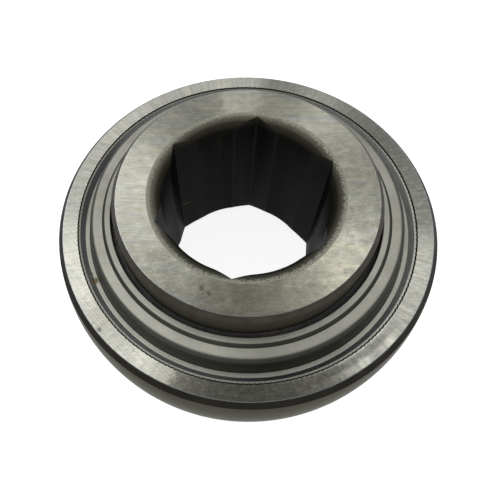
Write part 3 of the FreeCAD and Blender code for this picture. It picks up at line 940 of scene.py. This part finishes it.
def bore_radius(from_corner, round_radius):
    """The bore is cut by the hexagon or by the round mouth, whichever reaches further."""
    hexagon = hexagon_radius(from_corner)
    spread = math.hypot(hexagon - round_radius, BORE_EDGE_BLEND)
    return (hexagon + round_radius + spread) / 2


def sector_angles(round_radius):
    """Angles from flat to flat about a corner, closer together at the bore's edges."""
    crossing = 0.0
    if round_radius < hexagon_radius(0):
        crossing = max(0.0, HALF_SIDE_DEGREES - math.degrees(math.acos(HEX_HALF / round_radius)))
    fillet = min(HEX_CORNER_DEGREES, BORE_EDGE_SHARE * crossing)
    blend = min(BORE_EDGE_DEGREES, BORE_EDGE_SHARE * crossing)
    flats = [fillet + (crossing - blend - fillet) * step / FLAT_STEPS
             for step in range(1, FLAT_STEPS + 1)]
    edge = [crossing - blend / 3, crossing, crossing + blend / 3, crossing + blend]
    start = crossing + blend
    relief = [start + (HALF_SIDE_DEGREES - start) * step / RELIEF_STEPS
              for step in range(1, RELIEF_STEPS + 1)]
    half = [0.0, fillet / 2, fillet] + flats + edge + relief
    return [-angle for angle in half[:0:-1]] + half


def bore_outline():
    """Rows of the bore from the lower mouth up: radius of the round cut, and height."""
    mouth = RELIEF_RADIUS + UPPER_MOUTH_ROUNDING
    start = INNER_FACE - UPPER_MOUTH_ROUNDING
    rows = []
    for step in range(MOUTH_STEPS + 1):
        angle = math.radians(90 - 90 * step / MOUTH_STEPS)
        rows.append((mouth - UPPER_MOUTH_ROUNDING * math.cos(angle),
                     start + UPPER_MOUTH_ROUNDING * math.sin(angle)))
    foot = LOWER_MOUTH_COUNTERSINK - INNER_FACE
    for step in range(1, BORE_STEPS + 1):
        rows.append((RELIEF_RADIUS, start + (foot - start) * step / BORE_STEPS))
    for step in range(1, BORE_STEPS + 1):
        rows.append((RELIEF_RADIUS + LOWER_MOUTH_COUNTERSINK * step / BORE_STEPS,
                     foot - LOWER_MOUTH_COUNTERSINK * step / BORE_STEPS))
    return rows[::-1]


def make_inner_ring(finishes):
    """Inner ring in sixths, each from the middle of one flat of the bore to the next."""
    upper = [
        (INNER_LAND - INNER_CHAMFER, INNER_FACE, INNER_EDGE_ROUNDING, SCALE),
        (INNER_LAND, INNER_FACE - INNER_CHAMFER, INNER_EDGE_ROUNDING, SCALE),
    ]
    groove = with_last_finish(raceway_corners(INNER_LAND, INNER_GROOVE_BOTTOM), SCALE)
    lower = with_last_finish(lower_side(upper), FACE)
    mouth = RELIEF_RADIUS + UPPER_MOUTH_ROUNDING
    countersink = RELIEF_RADIUS + LOWER_MOUTH_COUNTERSINK
    corners = [(mouth + UPPER_MOUTH_INSET, INNER_FACE, 0, FACE)] + upper + groove + lower
    corners += [(countersink + LOWER_MOUTH_INSET, -INNER_FACE, 0, FACE)]
    rows = []
    marks = []
    for radius, height, finish in rounded_outline(corners, worn_and_highlit=EDGE):
        rows.append([place(radius, CORNER_DIRECTION + angle, height)
                     for angle in sector_angles(mouth)])
        marks.append(finish)
    for round_radius, height in bore_outline():
        rows.append([place(bore_radius(angle, round_radius), CORNER_DIRECTION + angle, height)
                     for angle in sector_angles(round_radius)])
        marks.append(BORE)
    sector = sector_mesh("inner_ring_sector", rows, marks)
    return ring_from_sector("inner_ring_ground", sector, HEX_SIDES, finishes)


# Shrouds

def shroud_outline():
    """Section of the upper shroud: top side from the lip to the rim, and back underneath."""
    path = [
        (SHROUD_LIP_INNER, SHROUD_TOP), (SHROUD_LIP_OUTER, SHROUD_TOP),
        (SHROUD_STEP_FOOT, SHROUD_RING), (SHROUD_SHOULDER, SHROUD_RING),
        (SHROUD_WALL_FOOT, SHROUD_FLOOR), (SHROUD_RIM_FOOT, SHROUD_FLOOR),
        (SHROUD_RIM_CREST, SHROUD_RIM_TOP),
    ]
    top_bends = (CUT_EDGE_ROUNDING, SHROUD_LIP_BEND, BEND, SHOULDER_BEND + SHEET, BEND, BEND,
                 SHROUD_RIM_CREST_BEND)
    under_bends = (CUT_EDGE_ROUNDING, BEND, BEND + SHEET, SHOULDER_BEND, BEND + SHEET, BEND + SHEET)
    top = [(r, z, bend, FACE) for (r, z), bend in zip(path, top_bends)]
    under = offset_corners(path, SHEET)[:len(under_bends)]

    # The drawn wall thins towards its foot, clear of the cap under it
    wall_foot, rim_foot = under[-2:]
    wall_foot.x += SHROUD_WALL_THINNING
    slope = Vector((SHROUD_RIM_CREST - SHROUD_RIM_FOOT, SHROUD_RIM_TOP - SHROUD_FLOOR))
    rim_end = rim_foot + slope * ((SHROUD_RIM - rim_foot.x) / slope.x)
    rim = [
        (SHROUD_RIM - SHROUD_RIM_CHAMFER, SHROUD_RIM_TOP, RIM_EDGE_ROUNDING, FACE),
        (SHROUD_RIM, SHROUD_RIM_TOP - SHROUD_RIM_CHAMFER, RIM_EDGE_ROUNDING, FACE),
        (rim_end.x, rim_end.y, RIM_EDGE_ROUNDING, FACE),
    ]
    back = [(point.x, point.y, bend, FACE) for point, bend in zip(under, under_bends)][::-1]
    return rounded_outline(top + rim + back)


def make_shroud(name, side, finishes):
    """Pressed shroud: raised lip, flat ring, drafted wall, floor and the rim under the stake."""
    outline = shroud_outline()
    step = 360 / SHROUD_SECTORS / SHROUD_SECTOR_STEPS
    rows = [[place(radius, step * column, side * height)
             for column in range(SHROUD_SECTOR_STEPS + 1)] for radius, height, _ in outline]
    sector = sector_mesh(name + "_sector", rows, [finish for _, _, finish in outline])
    return ring_from_sector(name, sector, SHROUD_SECTORS, finishes)


# The bearing

def dress_node(node, material):
    """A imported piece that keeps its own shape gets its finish."""
    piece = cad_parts[node]
    piece.data.materials.clear()
    piece.data.materials.append(material)


race_steel = raceway_steel()
edge_highlight_steel = worn_edge_highlight()

outer = make_outer_ring(
    [ground_outer_face(), rim_scale(), ground_sphere(), race_steel, edge_highlight_steel])
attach(outer, "outer_ring")
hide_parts("outer_ring")

inner = make_inner_ring(
    [ground_hub_face(), hub_scale(), broached_bore(), race_steel, edge_highlight_steel])
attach(inner, "inner_ring")
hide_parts("inner_ring")

satin = satin_sheet()
for level, side in (("upper", 1), ("lower", -1)):
    shroud = make_shroud("shroud_pressed_" + level, side, [satin])
    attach(shroud, "outer_ring")
    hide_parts("seal_shroud_" + level)

hidden_finishes = {
    "ball_": hidden_metal("ball_steel", (0.58, 0.58, 0.57), 0.08, 1.1),
    "cage_half_": hidden_metal("cage_steel", (0.40, 0.40, 0.38), 0.38, 0.7),
    "cage_rivets": hidden_metal("rivet_steel", (0.46, 0.45, 0.42), 0.30, 0.7),
    "seal_cap_": hidden_metal("cap_steel", (0.36, 0.36, 0.34), 0.40, 0.7),
    "seal_lips_": seal_rubber(),
}
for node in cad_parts:
    for start, material in hidden_finishes.items():
        if node.startswith(start):
            dress_node(node, material)


# Stage, lamps and camera

def soft_lamp(name, spot, size, power):
    """Soft lamp at a spot, facing the bearing, with its size in metres and its power in watts."""
    lamp = bpy.data.lights.new(name, "AREA")
    lamp.shape = "RECTANGLE"
    lamp.size, lamp.size_y = size
    lamp.energy = power
    item = bpy.data.objects.new(name, lamp)
    item.location = spot
    item.rotation_euler = (-Vector(spot)).to_track_quat("-Z", "Y").to_euler()
    bpy.context.scene.collection.objects.link(item)


def pale_floor():
    """Pale floor that shows white to the camera and keeps the bearing's shadow."""
    level = -INNER_FACE * MM
    corners = [(x * FLOOR_REACH, y * FLOOR_REACH, level)
               for x, y in ((-1, -1), (1, -1), (1, 1), (-1, 1))]
    mesh = bpy.data.meshes.new("floor")
    mesh.from_pydata(corners, [], [(0, 1, 2, 3)])
    item = bpy.data.objects.new("floor", mesh)
    bpy.context.scene.collection.objects.link(item)
    pale = Finish("pale_floor", 0.0, 0.9)
    pale.shader.inputs["Base Color"].default_value = (FLOOR_GREY, FLOOR_GREY, FLOOR_GREY, 1)
    pale.shader.inputs["Emission Color"].default_value = (1, 1, 1, 1)
    path = pale.node("ShaderNodeLightPath").outputs
    seen = pale.math("MAXIMUM", path["Is Camera Ray"], path["Is Glossy Ray"])
    seen = pale.math("MAXIMUM", seen, path["Is Transmission Ray"])
    pale.tree.links.new(pale.product(seen, FLOOR_GLOW), pale.shader.inputs["Emission Strength"])
    mesh.materials.append(pale.material)


def plain_world():
    """Pale studio all round the bearing."""
    world = bpy.data.worlds.new("studio")
    bpy.context.scene.world = world
    world.use_nodes = True
    shade = world.node_tree.nodes["Background"]
    shade.inputs["Color"].default_value = (1, 1, 1, 1)
    shade.inputs["Strength"].default_value = STUDIO_LEVEL


def photograph_camera():
    """Camera at the photograph's place, turned with the hexagon's corner onto +Y."""
    pitch, yaw, roll = (math.radians(a) for a in (CAMERA_PITCH, CAMERA_YAW, CAMERA_ROLL))
    ahead = Vector((0, math.cos(pitch), -math.sin(pitch)))
    right = Vector((1, 0, 0))
    up = right.cross(ahead)
    ahead, right = (ahead * math.cos(yaw) + right * math.sin(yaw),
                    right * math.cos(yaw) - ahead * math.sin(yaw))
    right, up = (right * math.cos(roll) + up * math.sin(roll),
                 up * math.cos(roll) - right * math.sin(roll))
    turn = Matrix.Rotation(math.radians(HEXAGON_TURN), 3, "Z")
    axes = Matrix((turn @ right, turn @ up, turn @ -ahead)).transposed()
    lens = bpy.data.cameras.new("photograph")
    lens.sensor_width = SENSOR_MM
    lens.lens = FOCAL_PIXELS / IMAGE_PIXELS * SENSOR_MM
    lens.shift_x = 0.5 - AXIS_PIXEL[0] / IMAGE_PIXELS
    lens.shift_y = AXIS_PIXEL[1] / IMAGE_PIXELS - 0.5
    lens.clip_start = 0.005
    camera = bpy.data.objects.new("photograph", lens)
    bpy.context.scene.collection.objects.link(camera)
    spot = turn @ Vector(CAMERA_PLACE) * MM
    camera.matrix_world = Matrix.Translation(spot) @ axes.to_4x4()
    bpy.context.scene.camera = camera


pale_floor()
plain_world()
soft_lamp("window", (-0.55, 0.55, 0.85), (1.2, 1.0), 3.0)
soft_lamp("side_window", (0.235, 0.406, 0.883), (0.36, 0.30), 0.45)
photograph_camera()
bpy.context.scene.view_settings.view_transform = "Standard"
